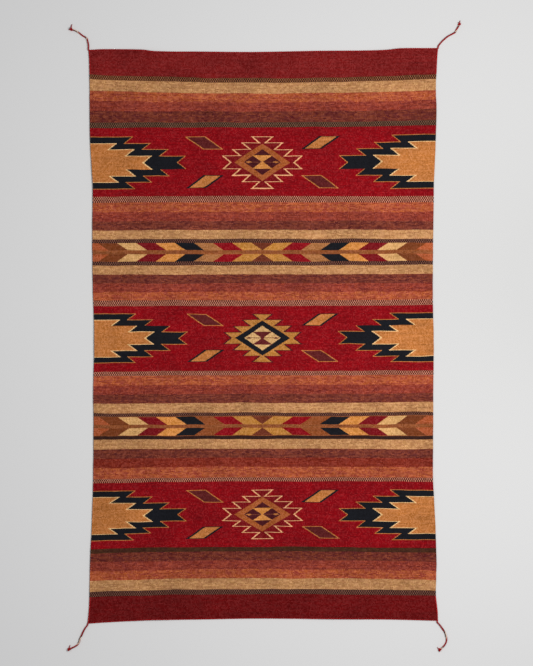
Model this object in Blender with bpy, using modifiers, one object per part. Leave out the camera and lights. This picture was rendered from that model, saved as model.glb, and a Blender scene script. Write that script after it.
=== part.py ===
"""Flat tapestry-woven wool blanket, laid out on a flat surface.

One woven cloth with thicker side selvedges, a twined cord along each end, and a
knotted twisted cord at each corner. Metres, +Z up. The origin is under the middle
of the cloth, on the surface that it lies on, and the warp runs along Y.
"""

import math
from bisect import bisect
from collections import namedtuple

import bmesh
import bpy
from mathutils import Matrix, Vector

CLOTH_THICKNESS = 0.0030
GAP = 0.0003

COLUMNS = 52
ROWS = 66

END_CORD_DIAMETER = 0.0034

CORD_RADIUS = 0.0021
CORD_TURN = 0.0150
CORD_STEPS_A_TURN = 10
CORD_START_RISE = 0.0020
ROUTE_FINENESS = 20

# Three equal plies that touch each other inside the cord's circle
PLIES = 3
PLY_SHARE = 1 / (1 + 2 / math.sqrt(3))
PROFILE_POINTS = 12

KNOT_STRANDS = 4
KNOT_SLANT = 3.2
KNOT_GROOVE = 0.26
KNOT_FLATNESS = 0.78
KNOT_SEGMENTS = 24
KNOT_RINGS = 12

TAIL_RADIUS = 0.0015
TAIL_START = 0.3
TAIL_EXIT_HEIGHT = 0.8
TAIL_SAG_HEIGHT = 0.0023
TAIL_POINTS = 7

# Half width of the cloth on each side, along its length
Side = namedtuple("Side", "y left right")
SIDES = (
    Side(-0.7662, 0.4668, 0.4664),
    Side(-0.7350, 0.4636, 0.4650),
    Side(-0.7000, 0.4621, 0.4606),
    Side(-0.6040, 0.4599, 0.4621),
    Side(-0.5280, 0.4565, 0.4599),
    Side(-0.4200, 0.4525, 0.4546),
    Side(-0.3900, 0.4518, 0.4525),
    Side(-0.2500, 0.4506, 0.4533),
    Side(-0.1440, 0.4514, 0.4535),
    Side(-0.0060, 0.4485, 0.4546),
    Side(0.1170, 0.4525, 0.4519),
    Side(0.3080, 0.4541, 0.4540),
    Side(0.3960, 0.4525, 0.4551),
    Side(0.4465, 0.4551, 0.4570),
    Side(0.5080, 0.4598, 0.4599),
    Side(0.5930, 0.4613, 0.4623),
    Side(0.6560, 0.4612, 0.4604),
    Side(0.7240, 0.4623, 0.4636),
    Side(0.7662, 0.4647, 0.4668),
)

# Distance from the middle to the outside of each end cord, across the cloth
End = namedtuple("End", "across top bottom")
ENDS = (
    End(-1.00, 0.7612, 0.7662),
    End(-0.91, 0.7633, 0.7633),
    End(-0.69, 0.7616, 0.7576),
    End(-0.62, 0.7577, 0.7563),
    End(-0.36, 0.7569, 0.7550),
    End(-0.06, 0.7558, 0.7526),
    End(0.32, 0.7588, 0.7537),
    End(0.57, 0.7596, 0.7547),
    End(0.70, 0.7608, 0.7550),
    End(0.79, 0.7652, 0.7558),
    End(1.00, 0.7662, 0.7585),
)

# Height of the cloth near a side, where the outer warps are wrapped into a ridge
Profile = namedtuple("Profile", "inset height")
SELVEDGE = (
    Profile(0.0000, 0.0014),
    Profile(0.0008, 0.0030),
    Profile(0.0018, 0.0036),
    Profile(0.0030, 0.0031),
    Profile(0.0042, 0.0025),
    Profile(0.0060, CLOTH_THICKNESS),
)
CLOTH_END = (
    Profile(0.0000, 0.0023),
    Profile(0.0016, CLOTH_THICKNESS),
)

# Low swells where the cloth doesn't lie quite flat: middle, half sizes and height
Swell = namedtuple("Swell", "x y half_x half_y height")
SWELLS = (
    Swell(-0.310, 0.770, 0.085, 0.130, 0.0026),
    Swell(0.340, 0.775, 0.090, 0.150, 0.0030),
    Swell(-0.290, -0.775, 0.100, 0.120, 0.0024),
    Swell(0.190, -0.770, 0.110, 0.110, 0.0018),
    Swell(-0.470, -0.010, 0.120, 0.090, 0.0022),
    Swell(0.470, -0.410, 0.110, 0.080, 0.0026),
    Swell(-0.475, 0.430, 0.130, 0.090, 0.0020),
    Swell(0.475, 0.110, 0.120, 0.100, 0.0018),
)

# Route of each corner cord, its knot and the loose end past the knot
Corner = namedtuple("Corner", "name end route knot knot_length knot_width tail")
CORNERS = (
    Corner(
        "top_left", 1,
        (
            (-0.4641, 0.7641), (-0.4639, 0.7710), (-0.4647, 0.7772), (-0.4676, 0.7891), (-0.4702, 0.7932),
            (-0.4743, 0.7957), (-0.4804, 0.7992), (-0.4870, 0.8043), (-0.4940, 0.8093), (-0.5019, 0.8131),
        ),
        (-0.5106, 0.8154), 0.0104, 0.0086, (-0.5091, 0.8272),
    ),
    Corner(
        "top_right", 1,
        (
            (0.4660, 0.7690), (0.4681, 0.7730), (0.4728, 0.7790), (0.4788, 0.7854), (0.4905, 0.7955),
            (0.4990, 0.8006), (0.5075, 0.8050), (0.5118, 0.8083), (0.5146, 0.8136), (0.5184, 0.8202),
            (0.5206, 0.8246),
        ),
        (0.5226, 0.8298), 0.0092, 0.0080, (0.5244, 0.8372),
    ),
    Corner(
        "bottom_left", -1,
        (
            (-0.4660, -0.7690), (-0.4684, -0.7720), (-0.4727, -0.7779), (-0.4777, -0.7869), (-0.4820, -0.7962),
            (-0.4862, -0.8047), (-0.4884, -0.8130), (-0.4925, -0.8206), (-0.4990, -0.8260), (-0.5064, -0.8298),
        ),
        (-0.5156, -0.8340), 0.0100, 0.0084, (-0.5139, -0.8252),
    ),
    Corner(
        "bottom_right", -1,
        (
            (0.4638, -0.7612), (0.4662, -0.7642), (0.4708, -0.7691), (0.4775, -0.7784), (0.4836, -0.7877),
            (0.4868, -0.7962), (0.4886, -0.8050), (0.4884, -0.8122), (0.4858, -0.8192), (0.4809, -0.8260),
            (0.4762, -0.8300),
        ),
        (0.4708, -0.8350), 0.0096, 0.0082, (0.4650, -0.8302),
    ),
)


def clear_scene():
    for item in list(bpy.data.objects):
        bpy.data.objects.remove(item, do_unlink=True)


def collection(name, hidden=False):
    made = bpy.data.collections.new(name)
    made.hide_render = hidden
    bpy.context.scene.collection.children.link(made)
    return made


def wool(name, colour, roughness):
    material = bpy.data.materials.new(name)
    material.use_nodes = True
    shader = material.node_tree.nodes["Principled BSDF"]
    shader.inputs["Base Color"].default_value = (*colour, 1.0)
    shader.inputs["Roughness"].default_value = roughness
    shader.inputs["Metallic"].default_value = 0.0
    return material


def smooth_column(rows, key, column, at):
    """A table's column, read along the smooth curve that runs through its rows."""
    places = [getattr(row, key) for row in rows]
    values = [getattr(row, column) for row in rows]
    low = min(max(bisect(places, at) - 1, 0), len(rows) - 2)
    span = places[low + 1] - places[low]

    def slope(index):
        before = max(index - 1, 0)
        after = min(index + 1, len(rows) - 1)
        return (values[after] - values[before]) / (places[after] - places[before]) * span

    f = (at - places[low]) / span
    return (
        (2 * f**3 - 3 * f**2 + 1) * values[low]
        + (f**3 - 2 * f**2 + f) * slope(low)
        + (3 * f**2 - 2 * f**3) * values[low + 1]
        + (f**3 - f**2) * slope(low + 1)
    )


def half_length(across, towards):
    """From the middle line to the outside of the end cord, at a fraction of the width."""
    return smooth_column(ENDS, "across", "top" if towards > 0 else "bottom", across)


def half_width(y, towards):
    return smooth_column(SIDES, "y", "right" if towards > 0 else "left", y)


def swell(x, y):
    """How far the underside is lifted off the surface."""
    lift = 0.0
    for row in SWELLS:
        distance = ((x - row.x) / row.half_x) ** 2 + ((y - row.y) / row.half_y) ** 2
        lift += row.height * max(0.0, 1 - distance) ** 2
    return lift


def bands(count, profile):
    """Lines across one direction of the cloth: (fraction of the half size, inset, height)."""
    margin = profile[-1].inset
    edge = [(1.0, row.inset, row.height) for row in profile]
    inner = [(2 * i / count - 1, margin, CLOTH_THICKNESS) for i in range(1, count)]
    return [(-f, inset, height) for f, inset, height in edge] + inner + edge[::-1]


def build_cloth(parts, material):
    columns = bands(COLUMNS, SELVEDGE)
    rows = bands(ROWS, CLOTH_END)
    tallest = max(row.height for row in SELVEDGE)
    surface = bmesh.new()
    bmesh.ops.create_grid(surface, x_segments=len(columns) - 1, y_segments=len(rows) - 1, size=1.0)
    weights = surface.verts.layers.deform.verify()
    for vertex in surface.verts:
        across, side_inset, side_height = columns[round((vertex.co.x + 1) / 2 * (len(columns) - 1))]
        along, end_inset, end_height = rows[round((vertex.co.y + 1) / 2 * (len(rows) - 1))]
        reach = half_length(across, along) - END_CORD_DIAMETER - GAP - end_inset
        y = along * reach
        x = across * (half_width(y, across) - side_inset)
        vertex.co = (x, y, swell(x, y))
        vertex[weights][0] = side_height * end_height / CLOTH_THICKNESS / tallest
    mesh = bpy.data.meshes.new("cloth")
    surface.to_mesh(mesh)
    surface.free()
    cloth = bpy.data.objects.new("cloth", mesh)
    parts.objects.link(cloth)
    heights = cloth.vertex_groups.new(name="height")
    solidify = cloth.modifiers.new("Woven thickness", "SOLIDIFY")
    solidify.thickness = tallest
    solidify.offset = 1.0
    solidify.vertex_group = heights.name
    mesh.materials.append(material)
    mesh.shade_smooth()
    mesh.set_sharp_from_angle(angle=math.radians(50))
    return cloth


def poly_curve(name, points, parts, material, tilts=None):
    data = bpy.data.curves.new(name, "CURVE")
    data.dimensions = "3D"
    data.twist_mode = "Z_UP"
    data.use_fill_caps = True
    spline = data.splines.new("POLY")
    spline.points.add(len(points) - 1)
    for index, place in enumerate(points):
        spline.points[index].co = (*place, 1.0)
        spline.points[index].tilt = tilts[index] if tilts else 0.0
    spline.use_smooth = True
    curve = bpy.data.objects.new(name, data)
    parts.objects.link(curve)
    data.materials.append(material)
    return curve


def build_end_cord(name, end, parts, material):
    """The cord twined along one end, level with the cloth and following its edge."""
    radius = END_CORD_DIAMETER / 2
    lines = [line for line in bands(COLUMNS, SELVEDGE) if line[1] in (0.0, SELVEDGE[-1].inset)]
    points = []
    for across, inset, _height in lines:
        y = end * (half_length(across, end) - radius)
        x = across * (half_width(y, across) - inset)
        points.append((x, y, radius + swell(x, y)))
    cord = poly_curve(name, points, parts, material)
    cord.data.bevel_depth = radius
    cord.data.bevel_resolution = 2
    return cord


def smooth_route(route, spacing):
    """Points at an even spacing along the smooth curve through a route's own points."""
    knots = [Vector(point) for point in route]
    dense = []
    for i in range(len(knots) - 1):
        before = knots[max(i - 1, 0)]
        after = knots[min(i + 2, len(knots) - 1)]
        a, b = knots[i], knots[i + 1]
        for step in range(ROUTE_FINENESS):
            f = step / ROUTE_FINENESS
            dense.append(
                0.5 * (2 * a + (b - before) * f + (2 * before - 5 * a + 4 * b - after) * f**2
                       + (3 * a - before - 3 * b + after) * f**3)
            )
    dense.append(knots[-1])
    lengths = [0.0]
    for a, b in zip(dense, dense[1:]):
        lengths.append(lengths[-1] + (b - a).length)
    count = max(2, round(lengths[-1] / spacing))
    even = []
    for i in range(count + 1):
        at = lengths[-1] * i / count
        low = min(max(bisect(lengths, at) - 1, 0), len(dense) - 2)
        f = (at - lengths[low]) / (lengths[low + 1] - lengths[low])
        even.append(dense[low].lerp(dense[low + 1], f))
    return even


def ply_profile(name, radius, helpers):
    """Cross-section of three plies lying together, each showing as one lobe."""
    ply = PLY_SHARE * radius
    data = bpy.data.curves.new(name, "CURVE")
    data.dimensions = "2D"
    spline = data.splines.new("POLY")
    spline.points.add(PROFILE_POINTS - 1)
    middle = radius - ply
    lobe = math.tau / PLIES
    for i in range(PROFILE_POINTS):
        angle = math.tau * i / PROFILE_POINTS
        off = (angle + lobe / 2) % lobe - lobe / 2
        reach = middle * math.cos(off) + math.sqrt(max(0.0, ply**2 - (middle * math.sin(off)) ** 2))
        spline.points[i].co = (reach * math.cos(angle), -reach * math.sin(angle), 0.0, 1.0)
    spline.use_cyclic_u = True
    profile = bpy.data.objects.new(name, data)
    profile.hide_render = True
    profile.display_type = "WIRE"
    helpers.objects.link(profile)
    return profile


def twisted(name, points, spacing, profile, parts, material):
    turn = math.tau * spacing / CORD_TURN
    cord = poly_curve(name, points, parts, material, tilts=[turn * i for i in range(len(points))])
    cord.data.bevel_mode = "OBJECT"
    cord.data.bevel_object = profile
    return cord


def cord_points(corner):
    """The corner cord's centre line, from the end cord to just short of its knot."""
    start_x, start_y = corner.route[0]
    across = math.copysign(1.0, start_x)
    edge = corner.end * (half_length(across, corner.end) + GAP)
    flat = [(start_x, edge), (start_x, edge + corner.end * CORD_START_RISE), *corner.route[1:]]
    knot = Vector(corner.knot)
    last = Vector(flat[-1])
    flat.append(tuple(knot + (last - knot).normalized() * (corner.knot_length / 2 + GAP)))
    route = [(x, y, CORD_RADIUS) for x, y in flat]
    return smooth_route(route, CORD_TURN / CORD_STEPS_A_TURN)


def build_knot(corner, arrives, tail_profile, parts, helpers, material):
    """An overhand knot: a lump with the crossing turns of the cord, and its loose end."""
    height = corner.knot_width * KNOT_FLATNESS
    ball = bmesh.new()
    bmesh.ops.create_uvsphere(ball, u_segments=KNOT_SEGMENTS, v_segments=KNOT_RINGS, radius=0.5)
    bmesh.ops.rotate(ball, matrix=Matrix.Rotation(math.pi / 2, 3, "Y"), verts=ball.verts)
    for vertex in ball.verts:
        around = math.atan2(vertex.co.y, vertex.co.z)
        along = math.asin(max(-1.0, min(1.0, 2 * vertex.co.x)))
        groove = 0.5 + 0.5 * math.cos(KNOT_STRANDS * around + KNOT_SLANT * along)
        vertex.co *= 1 - KNOT_GROOVE * groove * math.cos(along) ** 0.5
    bmesh.ops.scale(ball, vec=(corner.knot_length, corner.knot_width, height), verts=ball.verts)
    heading = math.atan2(arrives.y, arrives.x)
    bmesh.ops.rotate(ball, matrix=Matrix.Rotation(heading, 3, "Z"), verts=ball.verts)
    lowest = min(vertex.co.z for vertex in ball.verts)
    middle = Vector((*corner.knot, -lowest))
    bmesh.ops.translate(ball, vec=middle, verts=ball.verts)
    mesh = bpy.data.meshes.new(f"knot_{corner.name}")
    ball.to_mesh(mesh)
    ball.free()
    knot = bpy.data.objects.new(f"knot_{corner.name}", mesh)
    parts.objects.link(knot)
    mesh.materials.append(material)
    mesh.shade_smooth()

    end = Vector((*corner.tail, TAIL_RADIUS))
    start = middle.lerp(end, TAIL_START)
    start.z = middle.z * TAIL_EXIT_HEIGHT
    halfway = start.lerp(end, 0.5)
    halfway.z = TAIL_SAG_HEIGHT
    points = smooth_route([start, halfway, end], (end - start).length / TAIL_POINTS)
    spacing = CORD_TURN / CORD_STEPS_A_TURN
    guide = twisted(f"tail_{corner.name}_guide", points, spacing, tail_profile, helpers, material)
    bpy.context.view_layer.update()
    graph = bpy.context.evaluated_depsgraph_get()
    tail_mesh = bpy.data.meshes.new_from_object(guide.evaluated_get(graph))
    welded = bmesh.new()
    welded.from_mesh(tail_mesh)
    bmesh.ops.remove_doubles(welded, verts=welded.verts, dist=1e-6)
    welded.to_mesh(tail_mesh)
    welded.free()
    bpy.data.objects.remove(guide)
    tail = bpy.data.objects.new(f"tail_{corner.name}", tail_mesh)
    tail.hide_render = True
    tail.display_type = "WIRE"
    helpers.objects.link(tail)
    join = knot.modifiers.new("Loose end", "BOOLEAN")
    join.operation = "UNION"
    join.solver = "EXACT"
    join.object = tail
    return knot


def build_corner(corner, profile, tail_profile, parts, helpers, materials):
    points = cord_points(corner)
    spacing = CORD_TURN / CORD_STEPS_A_TURN
    twisted(f"cord_{corner.name}", points, spacing, profile, parts, materials["cord"])
    arrives = Vector(corner.knot).to_3d() - points[-1]
    build_knot(corner, arrives, tail_profile, parts, helpers, materials["knot"])


def main():
    clear_scene()
    parts = collection("wool blanket")
    helpers = collection("wool blanket cutters", hidden=True)
    materials = {
        "cloth": wool("woven wool", (0.27, 0.012, 0.018), 0.92),
        "end": wool("twined wool cord", (0.21, 0.011, 0.014), 0.90),
        "cord": wool("plied wool cord", (0.30, 0.030, 0.030), 0.88),
        "knot": wool("knotted wool cord", (0.28, 0.016, 0.018), 0.90),
    }
    build_cloth(parts, materials["cloth"])
    build_end_cord("end_cord_top", 1, parts, materials["end"])
    build_end_cord("end_cord_bottom", -1, parts, materials["end"])
    profile = ply_profile("cord_profile", CORD_RADIUS, helpers)
    tail_profile = ply_profile("tail_profile", TAIL_RADIUS, helpers)
    for corner in CORNERS:
        build_corner(corner, profile, tail_profile, parts, helpers, materials)


main()
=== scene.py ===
"""Looks of the flat tapestry-woven wool blanket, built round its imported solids.

The weave is charted in its own counts: warps across, and rows or millimetres along.
"""

import math
import random
from bisect import bisect
from collections import namedtuple

import bpy
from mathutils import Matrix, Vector


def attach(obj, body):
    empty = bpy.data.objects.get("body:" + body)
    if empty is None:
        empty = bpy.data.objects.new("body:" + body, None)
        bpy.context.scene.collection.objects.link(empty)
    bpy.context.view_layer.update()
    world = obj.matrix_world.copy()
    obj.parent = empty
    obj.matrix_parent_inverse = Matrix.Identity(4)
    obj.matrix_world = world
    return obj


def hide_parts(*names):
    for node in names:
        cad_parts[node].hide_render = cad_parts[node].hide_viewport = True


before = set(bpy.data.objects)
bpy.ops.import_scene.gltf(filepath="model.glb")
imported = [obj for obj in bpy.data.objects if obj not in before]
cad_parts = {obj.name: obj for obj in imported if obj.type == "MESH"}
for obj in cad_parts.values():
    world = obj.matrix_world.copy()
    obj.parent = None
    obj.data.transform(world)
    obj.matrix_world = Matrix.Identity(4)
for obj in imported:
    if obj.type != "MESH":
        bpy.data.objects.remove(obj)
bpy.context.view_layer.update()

MM = 0.001

# Camera, straight above the middle of the picture
CAMERA_PLACE = (0.0096, 0.0076, 4.1864)
CAMERA_LENS = 85
CAMERA_SENSOR = 36

# Lamps, strong on the right and weak as far on the left, in a pale room
LAMP_PLACE = (1.0, 0.17, 1.9)
LAMP_SIZE = 0.9
LAMP_COLOUR = (1.0, 0.985, 0.96)
LAMPS = (("soft lamp", 1, 44), ("weak lamp", -1, 6))
ROOM_LIGHT = 0.30

# Floor: painted shade that darkens the paper near the lamp, against part of the lamp's falloff.
# The distances from the lamp between which the paper gets lighter, and the colours
FLOOR_DROP = 0.3 * MM
FLOOR_REACH = 6.0
SHADED_PAPER_NEAR_LAMP = (0.2, "bebfc0")
UNSHADED_PAPER_FAR = (1.5, "e2e3e5")
PAPER_SHADE_SPREAD = (0.6, 1.0, 0.0)

# Cloth
CLOTH_THICKNESS = 3.0 * MM
UNDER_END_CORD = 1.2 * MM
RIB_DEPTH = 0.45 * MM
INNER_ROWS = 72
EDGE_WANDER = 0.35 * MM

# Weave: warps are counted, 2.9 mm apart as real ones are, and the rest is in mm. Real picks
# and their dots are too fine to show here: both are drawn as coarse as they need to show.
WARPS = 315
MIDDLE_WARP = -0.5
PICK = 1.5
BEAD_ROW = 4.5
SIDE_CORD_WIDTH = 3.0
SIDE_CORD_FROM = 686.4

# Heathered yarn: streaks, and flecks three warps long that start elsewhere in each row
FLECK_WARPS = 3
FLECK_SET_OFF = 1.7
FLECK_SHARE = 0.65
STREAK_SPREAD = (0.36, 0.64)

# How often a change comes in a warp's width and in a mm along: rows wander off their level
# by up to 3 mm over about 100 x 80 mm, streaks are 60 x 2 mm and fibres 1.4 x 0.2 mm
WANDER_RATE = (0.03, 0.012, 0.0)
WANDER_SIZE = 6.0
STREAK_RATE = (0.05, 0.45, 0.0)
FIBRE_RATE = (2.0, 5.0, 0.0)

# Relief of the weave, and the painted shade in its grooves and painted light on its crests, as shares of
# the yarn's colour
RIB_ROUNDNESS = 0.6
BEAD_SHARE = 0.35
FIBRE_SHARE = 0.18
WEAVE_RELIEF = 0.6 * MM
PAINTED_GROOVE_SHADE = 0.55
PAINTED_CREST_LIGHT = 1.04
CREST_HEIGHT = 0.8

# Wool's dull surface
WOOL_SPECULAR = 0.12
HALO_ROUGHNESS = 0.45

# Cords
END_CORD_DIAMETER = 3.4 * MM
END_CORD_STEPS = 1040
END_PLY_TURN = 11.5 * MM
END_PLY_RADIUS = 0.85 * MM
CORD_RADIUS = 2.1 * MM
CORD_START_RISE = 2.0 * MM
CORD_STEP = 0.7 * MM
SHORT_OF_KNOT = 0.35
STRAND_RADIUS = 1.05 * MM
STRAND_OFF_CENTRE = 1.18 * MM
UNDER_START = 0.55
UNDER_GROWTH = 1.2
GAP = 0.3 * MM

# Spin of a strand: a turn in mm, how often fibres come in a radian round and in a mm along,
# how much the groove adds to the height, and the heights below which the groove's painted shade is full and
# above which the dye shows unshaded
SPIN_TURN = 2.4
SPIN_FIBRE_RATE = (1.5, 1.6, 0.0)
SPIN_GROOVE = 0.35
SPIN_SHADE_HEIGHTS = (0.25, 0.7)
SPIN_RELIEF = 0.25 * MM

# Knots, and their frayed loose ends
KNOT_TUBE = 1.35 * MM
KNOT_HEIGHT = 0.78
KNOT_STEPS = 48
KNOT_CLOSED = 0.985
TREFOIL_REACH = 2.6
KNOT_PLY_TURN = 9 * MM
TAIL_RADIUS = 0.62 * MM
TAIL_OFF_CENTRE = 0.75 * MM
TAIL_TURNS = 0.9
TAIL_ARCH = 2.3 * MM
TAIL_END = 1.5 * MM
FRAYED_FIBRES = 12
FIBRE_RADIUS = 0.16 * MM

# Dyed yarns, in sRGB. The heathered ones have the main dye and that of their streaks.
HEATHERED = {
    "end red": ("801e1e", "711818"),
    "end bottom red": ("701113", "600d0e"),
    "field red": ("90020e", "76020e"),
    "tan": ("c99764", "9e6a45"),
    "orange": ("ba6338", "87302b"),
    "rose": ("a04733", "6c2322"),
    "dark rose": ("84402a", "4b0f1d"),
    "maroon": ("88432f", "4c171d"),
    "rust red": ("903929", "68180f"),
    "olive": ("4b2e19", "3a1c17"),
    "plum brown": ("391f17", "2a191a"),
    "spine brown": ("97562f", "7b4428"),
}
YARNS = {
    "cord red": "9c1318",
    "olive bead": "1a1512",
    "rust bead": "704d3a",
    "dark bead": "1a1313",
    "rose bead": "734739",
    "amber bead": "8c5636",
    "red bead": "30070a",
    "sand bead": "ba755e",
    "blue black": "14161c",
    "gold": "b8733d",
    "cream line": "e4b982",
    "cream": "cba16c",
    "tan line": "b9743c",
    "figure maroon": "5a1d1e",
    "tooth line": "dfa476",
    "tooth gold": "b27739",
    "tooth red": "741116",
    "ring brown": "9f552b",
    "thin brown": "743c28",
    "figure dark": "47161c",
    "feather red": "860815",
    "feather dark red": "741219",
    "feather gold": "b87d3b",
    "feather tan": "a36b40",
    "feather rust": "8a4a27",
    "feather amber": "cc8644",
    "feather cream": "cf9f66",
    "feather brown": "743b1e",
    "feather orange": "a45331",
    "feather point": "6b3120",
}

# Stripes from the top end down: where each one ends in mm, and its yarn, which is heathered
# unless a second one changes place with it bead by bead
Stripe = namedtuple("Stripe", "bottom yarn beads", defaults=(None,))
STRIPES = [Stripe(*row) for row in (
    (686.2, "end red"),
    (672.9, "dark bead", "amber bead"),
    (645.5, "tan"),
    (621.0, "orange"),
    (597.6, "rose"),
    (569.1, "dark rose"),
    (554.5, "olive bead", "rust bead"),
    (371.8, "field red"),
    (356.1, "red bead", "sand bead"),
    (329.7, "orange"),
    (305.5, "rose"),
    (282.7, "maroon"),
    (258.5, "tan"),
    (247.8, "dark bead", "rose bead"),
    (197.3, "spine brown"),
    (187.2, "dark bead", "rose bead"),
    (163.0, "tan"),
    (140.1, "maroon"),
    (116.4, "rose"),
    (94.3, "orange"),
    (79.4, "red bead", "sand bead"),
    (-92.4, "field red"),
    (-104.6, "red bead", "sand bead"),
    (-130.4, "orange"),
    (-153.8, "rose"),
    (-179.1, "maroon"),
    (-204.1, "tan"),
    (-212.9, "dark bead", "rose bead"),
    (-265.0, "spine brown"),
    (-274.6, "plum brown"),
    (-300.4, "tan"),
    (-323.3, "maroon"),
    (-347.8, "rust red"),
    (-376.5, "orange"),
    (-386.3, "red bead", "sand bead"),
    (-561.1, "field red"),
    (-573.6, "olive"),
    (-597.3, "dark rose"),
    (-620.9, "rose"),
    (-645.1, "orange"),
    (-673.6, "tan"),
    (-686.6, "dark bead", "rose bead"),
    (-800.0, "end bottom red"),
)]

# Red bands with large figures, in mm: the middle of each, the height of one row of its
# figures, and where its part of the cloth starts
Band = namedtuple("Band", "middle row_height above")
BANDS = (
    Band(-474.4, 16.1, -800.0),
    Band(-5.7, 16.0, -240.0),
    Band(461.9, 17.2, 230.0),
)

# Small figures, in warps from the middle and in rows: where the dash is, and where the
# tilted ones start, how far they lean in a row, and the row round which they stand
DASH_FROM_MIDDLE = 12.4
TILTED_START = 28.2
TILTED_SLANT = 8.3
TILTED_ROW = 3.0

# Figures of the red bands, each laid over the ones before it. A figure holds the picks
# whose distance across is past its limit (side 1) or short of it (side -1). The limit
# starts at a count of warps, takes one step each row and slants within the row. Grow, in
# warps, and lift, in rows, widen a figure or below 0 narrow it, so that outlines show.
# Quarter 1 or -1 keeps to two opposite quarters of a band. The yarns are those in the outer
# two bands and in the middle one, or one for all three.
FIGURE_PARTS = "measure start step slant height side grow lift quarter outer middle"
Figure = namedtuple("Figure", FIGURE_PARTS, defaults=(None,))
FIGURES = [Figure(*row) for row in (
    ("middle", 78.6, 16.0, -7.6, 4, 1, 0.9, 0.08, 0, "tan line"),
    ("middle", 78.6, 16.0, -7.6, 4, 1, 0, 0, 0, "blue black"),
    ("middle", 110.6, 15.8, -7.9, 3, 1, 1.5, 0.08, 0, "cream line"),
    ("middle", 110.6, 15.8, -7.9, 3, 1, 0, 0, 0, "gold"),
    ("middle", 29.0, -8.85, 7.0, 4, -1, 0.8, 0.05, 0, "tooth line", "figure dark"),
    ("middle", 29.0, -8.85, 7.0, 4, -1, -0.8, -0.045, 0, "tooth red", "tooth gold"),
    ("middle", 25.7, -8.9, -8.9, 2.9, -1, 0, 0, 0, "ring brown", "blue black"),
    ("middle", 16.9, -8.45, -8.45, 2.0, -1, 0, 0, 0, "figure dark", "cream"),
    ("middle", 12.4, 0, 0, 0.045, -1, 0, 0, 0, "thin brown", "figure maroon"),
    ("middle", 0.5, 8.5, 8.5, 1.03, -1, 0, 0, 0, "feather amber", "figure maroon"),
    ("dash", 3.2, 0, -20, 0.15, -1, 0, 0, 0, "gold", "figure maroon"),
    ("tilted", 9.3, 0, 0, 1, -1, 0.2, 0, 1, "blue black"),
    ("tilted", 9.3, 0, 0, 1, -1, -2.5, -0.095, 1, "gold"),
    ("tilted", 9.3, 0, 0, 1, -1, 0, 0, -1, "tan line"),
    ("tilted", 9.3, 0, 0, 1, -1, -1.3, -0.095, -1, "figure maroon"),
)]

# Feather bands: a row of leaning blocks above and below a brown spine, in mm along, and
# their width and lean in warps. The blocks' yarns run from the middle to the side.
FEATHER_MIDDLES = (-239.5, 222.8)
FEATHER_HALF = 25.0
SPINE_HALF = 4.66
FEATHER_WIDTH = 17.7
FEATHER_LEAN = 10.4
LOWER_FEATHERS = (
    "feather point", "feather gold", "feather red", "feather rust", "blue black", "feather amber",
    "feather dark red", "feather cream", "feather brown", "feather orange",
)
UPPER_FEATHERS = (*LOWER_FEATHERS[:3], "feather tan", *LOWER_FEATHERS[4:])

# How far the stripes lie lower at the left and right side than in the middle, in mm
Drift = namedtuple("Drift", "y left right")
DRIFTS = [Drift(*row) for row in (
    (-755.8, 13.0, 5.6),
    (-689.3, 7.7, 3.7),
    (-567.0, 5.6, 4.5),
    (-386.0, 5.6, 1.6),
    (-277.0, 2.4, 1.1),
    (-181.0, 2.4, -2.7),
    (-93.5, 2.4, -1.1),
    (79.4, 0.3, -2.7),
    (369.5, 1.9, 0.0),
    (553.0, 2.1, -4.8),
    (688.6, -10.1, -10.1),
    (756.1, -5.3, -10.1),
)]

# Changes in the dye: their share of the brightness, and how often they come in a warp's
# width and in a mm along. Clouds are about 100 x 80 mm, rows 290 x 4 mm, streaks along the
# weft 32 x 2 mm and along the ribs 3 x 33 mm. Below, how much single beads differ in
# brightness, and how much paler the lightest are, which is a painted sheen of loose fibres.
Change = namedtuple("Change", "share across along")
DYE_CHANGES = (
    Change(0.65, 0.03, 0.012),
    Change(0.60, 0.010, 0.25),
    Change(0.60, 0.09, 0.50),
    Change(0.30, 1.00, 0.03),
)
BEAD_CHANGE = 0.40
PAINTED_SHEEN_PALER = 0.08

# Half width of the cloth on each side, along its length, in metres
Side = namedtuple("Side", "y left right")
SIDES = [Side(*row) for row in (
    (-0.7662, 0.4668, 0.4664),
    (-0.7350, 0.4636, 0.4650),
    (-0.7000, 0.4621, 0.4606),
    (-0.6040, 0.4599, 0.4621),
    (-0.5280, 0.4565, 0.4599),
    (-0.4200, 0.4525, 0.4546),
    (-0.3900, 0.4518, 0.4525),
    (-0.2500, 0.4506, 0.4533),
    (-0.1440, 0.4514, 0.4535),
    (-0.0060, 0.4485, 0.4546),
    (0.1170, 0.4525, 0.4519),
    (0.3080, 0.4541, 0.4540),
    (0.3960, 0.4525, 0.4551),
    (0.4465, 0.4551, 0.4570),
    (0.5080, 0.4598, 0.4599),
    (0.5930, 0.4613, 0.4623),
    (0.6560, 0.4612, 0.4604),
    (0.7240, 0.4623, 0.4636),
    (0.7662, 0.4647, 0.4668),
)]

# Distance from the middle to the outside of each end cord, at shares of the half width
End = namedtuple("End", "across top bottom")
ENDS = [End(*row) for row in (
    (-1.00, 0.7612, 0.7662),
    (-0.91, 0.7633, 0.7633),
    (-0.69, 0.7616, 0.7576),
    (-0.62, 0.7577, 0.7563),
    (-0.36, 0.7569, 0.7550),
    (-0.06, 0.7558, 0.7526),
    (0.32, 0.7588, 0.7537),
    (0.57, 0.7596, 0.7547),
    (0.70, 0.7608, 0.7550),
    (0.79, 0.7652, 0.7558),
    (1.00, 0.7662, 0.7585),
)]

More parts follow.
